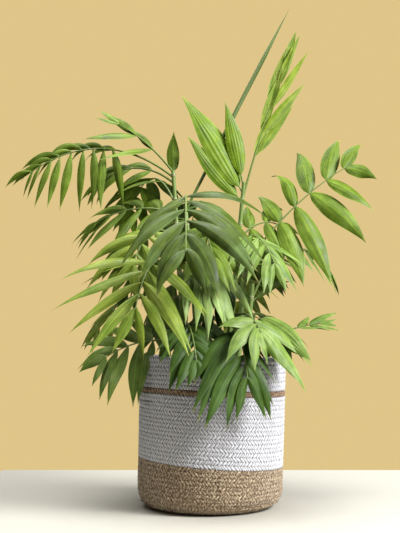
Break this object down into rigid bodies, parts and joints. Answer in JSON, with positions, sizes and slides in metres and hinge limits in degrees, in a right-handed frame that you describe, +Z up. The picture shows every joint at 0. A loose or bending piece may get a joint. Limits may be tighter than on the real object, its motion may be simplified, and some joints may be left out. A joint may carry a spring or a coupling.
{
  "type": "potted chamaedorea palm",
  "caption": "Clump of slender palm canes with arching feathered fronds, standing in a round basket of coiled rope.",
  "frame": {"origin": "centre of the basket's flat underside", "axes": "+Z up along the plant's height, -Y towards the side that the picture shows, +X to its right"},
  "size_m": [0.5197, 0.4364, 0.6919],
  "materials": {
    "white_rope": "stitched cotton rope, matte",
    "jute_rope": "stitched jute rope, matte",
    "potting_mix": "loose and crumbly, matte",
    "cane": "smooth ringed stem",
    "spear": "smooth",
    "leaf_dark": "satin leaf",
    "leaf_deep": "satin leaf",
    "leaf_olive": "satin leaf",
    "leaf_mid": "satin leaf",
    "leaf_fresh": "satin leaf",
    "leaf_pale": "satin leaf",
    "leaf_lime": "satin leaf"
  },
  "bodies": {
    "root": {"basket_jute_base": "jute_rope", "basket_white_wall": "white_rope", "basket_jute_stripe": "jute_rope", "basket_white_rim": "white_rope", "potting_mix": "potting_mix", "cane_left": "cane", "cane_middle": "cane", "cane_centre": "cane", "cane_right": "cane", "cane_front": "cane", "cane_low": "cane", "cane_back": "cane", "cane_far": "cane", "spear_middle": "spear", "frond_pleated": "leaf_lime", "frond_pleated_low": "leaf_lime", "frond_pleated_right": "leaf_lime", "frond_low_right_leaf": "leaf_fresh", "frond_left_shoot": "leaf_lime", "frond_main_front": "leaf_deep", "frond_left_fan": "leaf_mid", "frond_right_arch": "leaf_olive", "frond_far_left": "leaf_olive", "frond_upright": "leaf_mid", "frond_low_front": "leaf_dark", "frond_low_right": "leaf_fresh", "frond_under_front": "leaf_pale", "frond_low_left": "leaf_fresh", "frond_upper_left": "leaf_olive", "frond_back_left": "leaf_olive", "frond_side_left": "leaf_mid", "frond_right_back": "leaf_fresh", "frond_right_small": "leaf_fresh", "frond_inner_front": "leaf_olive", "frond_inner_centre": "leaf_fresh", "frond_inner_right": "leaf_dark", "frond_inner_low": "leaf_dark", "frond_inner_left": "leaf_dark", "frond_rear_top": "leaf_dark", "frond_rear_left": "leaf_olive", "frond_rear_right": "leaf_dark", "frond_rear_far_right": "leaf_deep", "frond_rear_low": "leaf_mid", "frond_rear_low_left": "leaf_deep", "frond_rear_centre": "leaf_olive", "frond_rear_high_left": "leaf_olive", "frond_rear_foot": "leaf_dark", "frond_rear_foot_right": "leaf_deep", "frond_rear_foot_left": "leaf_mid", "frond_centre_leaf": "leaf_deep", "frond_mid_left": "leaf_olive", "frond_side_right": "leaf_olive", "frond_side_low_left": "leaf_deep"}
  },
  "joints": []
}
